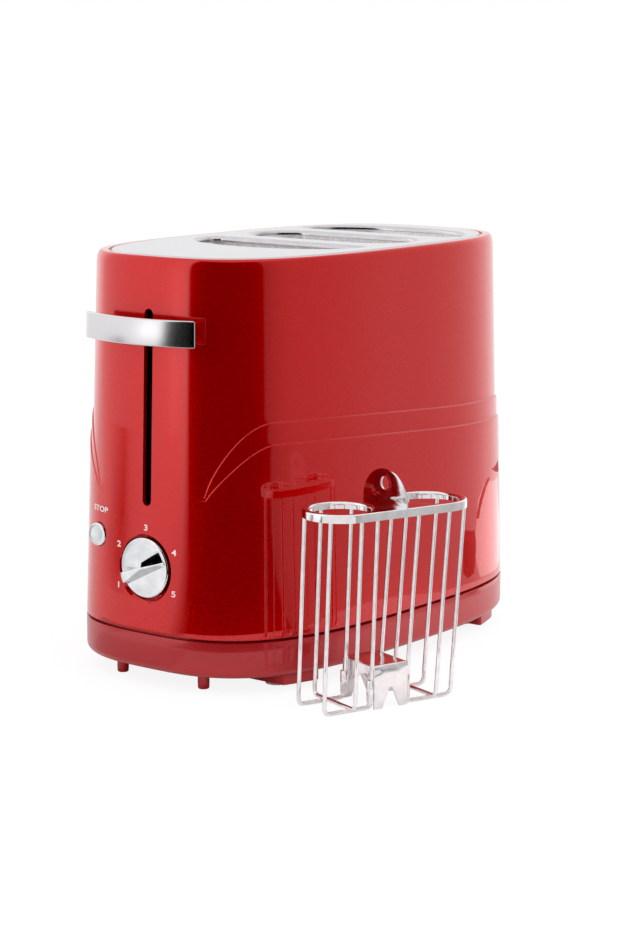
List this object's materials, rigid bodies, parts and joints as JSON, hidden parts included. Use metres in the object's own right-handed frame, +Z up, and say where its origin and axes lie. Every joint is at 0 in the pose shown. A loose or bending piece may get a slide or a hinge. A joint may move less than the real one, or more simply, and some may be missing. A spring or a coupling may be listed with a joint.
{
  "type": "hot dog toaster",
  "caption": "Tall oval toaster for hot dogs and buns: side lever with carriage, timer knob, stop button, rear crumb tray, and a loose wire basket with a handle tab.",
  "frame": {"origin": "on the table, under the middle of the body; the basket stands beside the body at +X", "axes": "+X right as seen from the control end, +Y from the control end to the rear, +Z up"},
  "size_m": [0.2087, 0.2616, 0.2095],
  "materials": {
    "red_shell": "glossy metallic red lacquer on moulded plastic",
    "red_base": "darker red moulded plastic",
    "polished_steel": "polished stainless steel",
    "bright_chrome": "bright chrome plate",
    "brushed_metal": "satin brushed metal",
    "plain_steel": "plain galvanised sheet steel",
    "mica": "mica board",
    "nichrome": "dull heating ribbon",
    "circuit_board": "solder mask",
    "black_plastic": "moulded black plastic",
    "copper_coil": "lacquered copper winding",
    "pale_rubber": "pale soft pads"
  },
  "bodies": {
    "toaster_body": {"housing": "red_shell", "base_tub": "red_base", "top_plate": "polished_steel", "front_bun_chute": "polished_steel", "rear_bun_chute": "polished_steel", "basket_chute": "polished_steel", "front_bulkhead": "plain_steel", "rear_bulkhead": "plain_steel", "side_plate_left": "plain_steel", "side_plate_right": "plain_steel", "upper_frame": "plain_steel", "lower_frame": "plain_steel", "heater_board_1": "mica", "heater_board_2": "mica", "heater_board_3": "mica", "heater_board_4": "mica", "heater_ribbons": "nichrome", "bun_guard_wires": "bright_chrome", "bus_bars": "plain_steel", "terminal_block": "black_plastic", "cord_gland": "black_plastic", "guide_rods": "bright_chrome", "rod_bracket": "plain_steel", "return_springs": "plain_steel", "magnet_core": "plain_steel", "magnet_coil": "copper_coil", "control_board": "circuit_board", "timer_potentiometer": "black_plastic", "stop_switch": "black_plastic", "power_switch": "black_plastic", "front_pegs": "red_base", "side_feet": "red_base", "foot_pads": "pale_rubber", "base_screws": "plain_steel"},
    "carriage": {"lever_handle": "brushed_metal", "lever_arm": "plain_steel", "slider_block": "black_plastic", "carriage_yoke": "plain_steel", "carriage_rails": "plain_steel", "front_bun_rack": "bright_chrome", "rear_bun_rack": "bright_chrome", "basket_platform": "bright_chrome", "keeper_plate": "plain_steel"},
    "timer": {"timer_knob": "bright_chrome", "knob_shaft": "black_plastic"},
    "stop": {"stop_button": "bright_chrome"},
    "tray": {"crumb_tray": "plain_steel", "tray_handle": "red_base"},
    "basket": {"basket_ring": "bright_chrome", "basket_cage": "bright_chrome", "basket_foot": "bright_chrome"}
  },
  "joints": [
    {"name": "lever_slide", "type": "slide", "parent": "toaster_body", "child": "carriage", "axis": [0, 0, -1], "range_m": [0, 0.08], "stiffness_N_per_m": 100, "springref_m": -0.06, "deforming": ["return_springs"]},
    {"name": "timer_turn", "type": "hinge", "parent": "toaster_body", "child": "timer", "pos_m": [0, -0.125, 0.0585], "axis": [0, 1, 0], "range_deg": [0, 240]},
    {"name": "stop_press", "type": "slide", "parent": "toaster_body", "child": "stop", "axis": [0, 1, 0], "range_m": [0, 0.0015], "stiffness_N_per_m": 400, "springref_m": -0.002},
    {"name": "tray_slide", "type": "slide", "parent": "toaster_body", "child": "tray", "axis": [0, 1, 0], "range_m": [0, 0.15]},
    {"name": "basket_lift", "type": "slide", "parent": "toaster_body", "child": "basket", "axis": [0, 0, 1], "range_m": [0, 0.25]}
  ]
}
